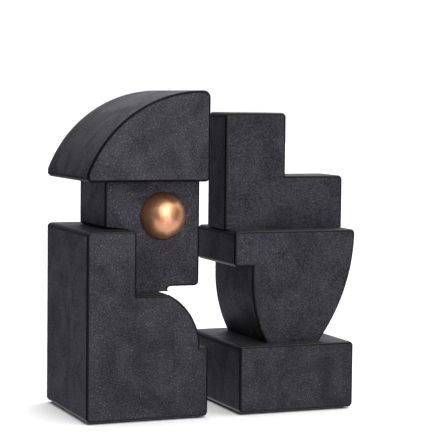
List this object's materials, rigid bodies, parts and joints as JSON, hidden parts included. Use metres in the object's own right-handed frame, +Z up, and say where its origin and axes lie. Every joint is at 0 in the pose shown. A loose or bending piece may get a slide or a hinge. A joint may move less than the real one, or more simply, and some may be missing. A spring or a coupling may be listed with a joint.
{
  "type": "book ends",
  "caption": "Pair of free-standing sculptural book ends built from stacked round-edged blocks, one with a curved hat and a ball eye, one with a bowl form.",
  "frame": {"origin": "on the resting plane, under the middle of the pair's bounding box at rest", "axes": "+Z up; +X from the left book end to the right one, across the gap for books; +Y from the front faces to the back faces"},
  "size_m": [0.173, 0.08, 0.19],
  "materials": {
    "cast_black": "matte charcoal-black cast stone composite with a fine sandy grain",
    "satin_copper": "satin rose-copper plating, softly brushed",
    "stud_steel": "plain steel, hidden",
    "dowel_wood": "plain beech, hidden",
    "black_felt": "pressed black felt"
  },
  "bodies": {
    "left_bookend": {"left_torso_block": "cast_black", "left_head_block": "cast_black", "left_hat_block": "cast_black", "eye_ball": "satin_copper", "eye_stud": "stud_steel", "left_head_dowel_front": "dowel_wood", "left_head_dowel_back": "dowel_wood", "left_hat_dowel_outer": "dowel_wood", "left_hat_dowel_inner": "dowel_wood", "left_felt_pad": "black_felt"},
    "right_bookend": {"right_base_block": "cast_black", "right_bowl_block": "cast_black", "right_step_block": "cast_black", "right_bowl_dowel_inner": "dowel_wood", "right_bowl_dowel_outer": "dowel_wood", "right_step_dowel_inner": "dowel_wood", "right_step_dowel_outer": "dowel_wood", "right_felt_pad": "black_felt"}
  },
  "joints": [
    {"name": "spread", "type": "slide", "parent": "left_bookend", "child": "right_bookend", "axis": [1, 0, 0], "range_m": [-0.0195, 0.25]}
  ]
}
